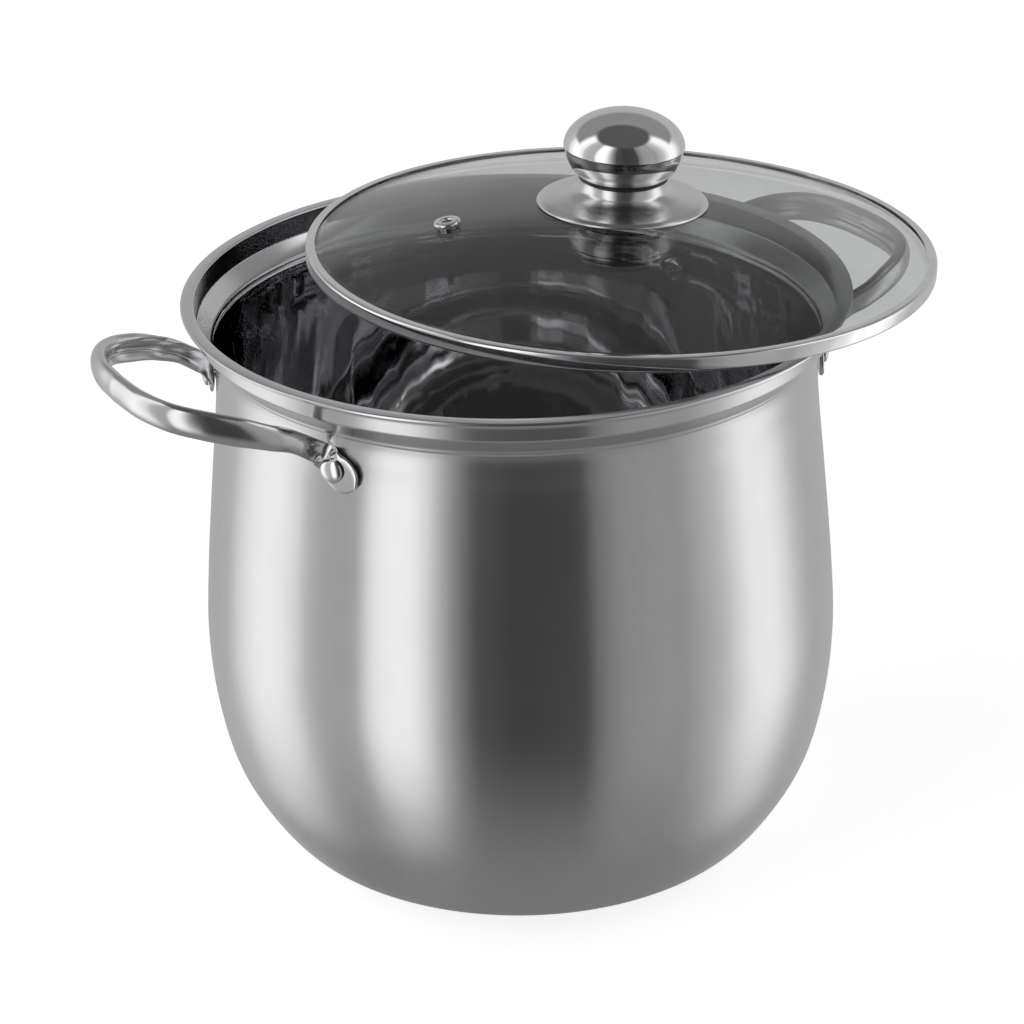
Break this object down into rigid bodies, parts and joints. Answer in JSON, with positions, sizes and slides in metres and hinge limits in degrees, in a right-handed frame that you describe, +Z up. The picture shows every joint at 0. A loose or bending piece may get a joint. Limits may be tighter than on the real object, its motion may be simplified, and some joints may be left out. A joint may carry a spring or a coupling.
{
  "type": "water bath canner",
  "caption": "Belly-shaped steel stock pot with two riveted loop handles and a vented domed glass lid with a ball knob, resting askew on the rim.",
  "frame": {"origin": "centre of the base's flat underside, on the pot's axis", "axes": "+Z up along the pot's axis, +X towards the handle on the right, the side the lid is shifted to, -Y to the front"},
  "size_m": [0.3989, 0.3, 0.3396],
  "materials": {
    "satin_steel": "satin brushed outside, bright inside",
    "polished_steel": "polished",
    "aluminium": "plain",
    "tinted_glass": "clear, faint grey tint",
    "black_phenolic": "semi gloss",
    "silicone": "matt"
  },
  "bodies": {
    "pot": {"pot_body": "satin_steel", "base_core_disc": "aluminium", "base_cap": "satin_steel", "handle_left": "polished_steel", "handle_right": "polished_steel", "left_front_rivet": "polished_steel", "left_back_rivet": "polished_steel", "right_front_rivet": "polished_steel", "right_back_rivet": "polished_steel"},
    "lid": {"lid_glass": "tinted_glass", "lid_band": "polished_steel", "vent_eyelet": "polished_steel", "vent_gasket": "silicone", "vent_collar": "polished_steel", "knob_foot": "polished_steel", "knob_spacer_ring": "black_phenolic", "knob_bowl": "polished_steel", "knob_dome": "polished_steel", "knob_core": "black_phenolic", "glass_gasket": "silicone", "glass_washer": "silicone", "screw_washer": "polished_steel", "lock_washer": "polished_steel", "knob_screw": "polished_steel"}
  },
  "joints": [
    {"name": "lid_lift", "type": "slide", "parent": "pot", "child": "lid", "axis": [0, 0, 1], "range_m": [0, 0.2]}
  ]
}
